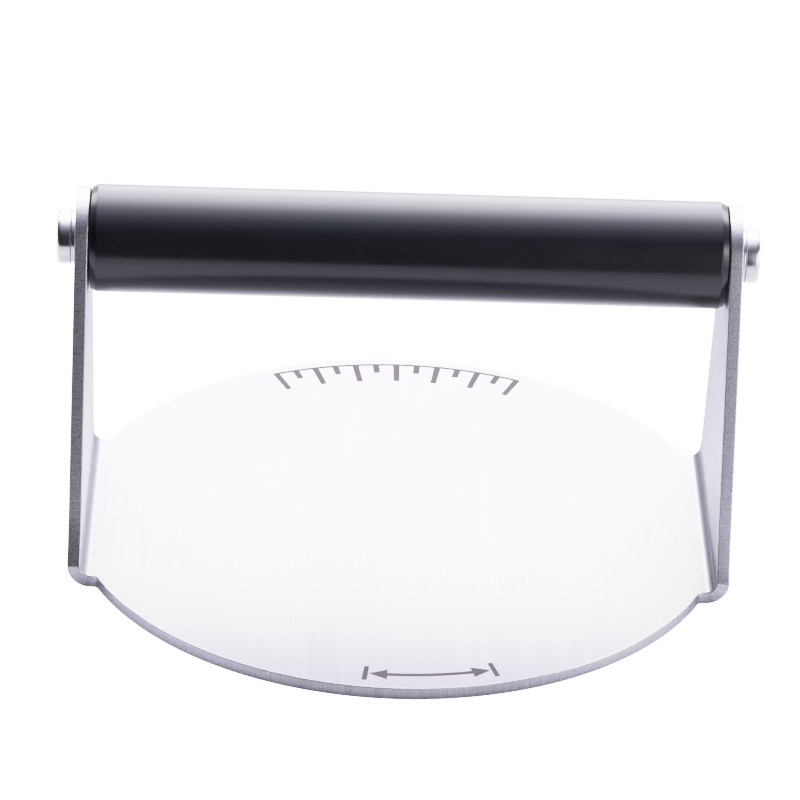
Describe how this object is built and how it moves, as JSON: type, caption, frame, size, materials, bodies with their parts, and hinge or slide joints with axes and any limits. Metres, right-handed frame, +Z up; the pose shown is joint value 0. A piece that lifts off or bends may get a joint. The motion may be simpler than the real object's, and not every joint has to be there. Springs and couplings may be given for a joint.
{
  "type": "patty press",
  "caption": "Round steel patty press with a horizontal black grip between two upturned ears of the same bent sheet.",
  "frame": {"origin": "centre of the round plate's underside, on the surface it rests on", "axes": "+X runs along the grip's axis, +Y across the grip towards the back, +Z up"},
  "size_m": [0.1466, 0.14, 0.0789],
  "materials": {
    "brushed_sheet": "fine brushed stainless steel sheet with tumbled edges",
    "black_grip": "turned black plastic, satin gloss",
    "turned_steel": "turned steel rod",
    "bush_plastic": "natural bearing plastic",
    "bright_fastener": "bright plated steel"
  },
  "bodies": {
    "frame": {"press_plate": "brushed_sheet", "spindle": "turned_steel", "left_washer": "bright_fastener", "right_washer": "bright_fastener", "left_screw": "bright_fastener", "right_screw": "bright_fastener"},
    "grip": {"grip": "black_grip", "left_bush": "bush_plastic", "right_bush": "bush_plastic"}
  },
  "joints": [
    {"name": "grip_spin", "type": "hinge", "parent": "frame", "child": "grip", "pos_m": [0, 0, 0.0676], "axis": [1, 0, 0], "continuous": true}
  ]
}
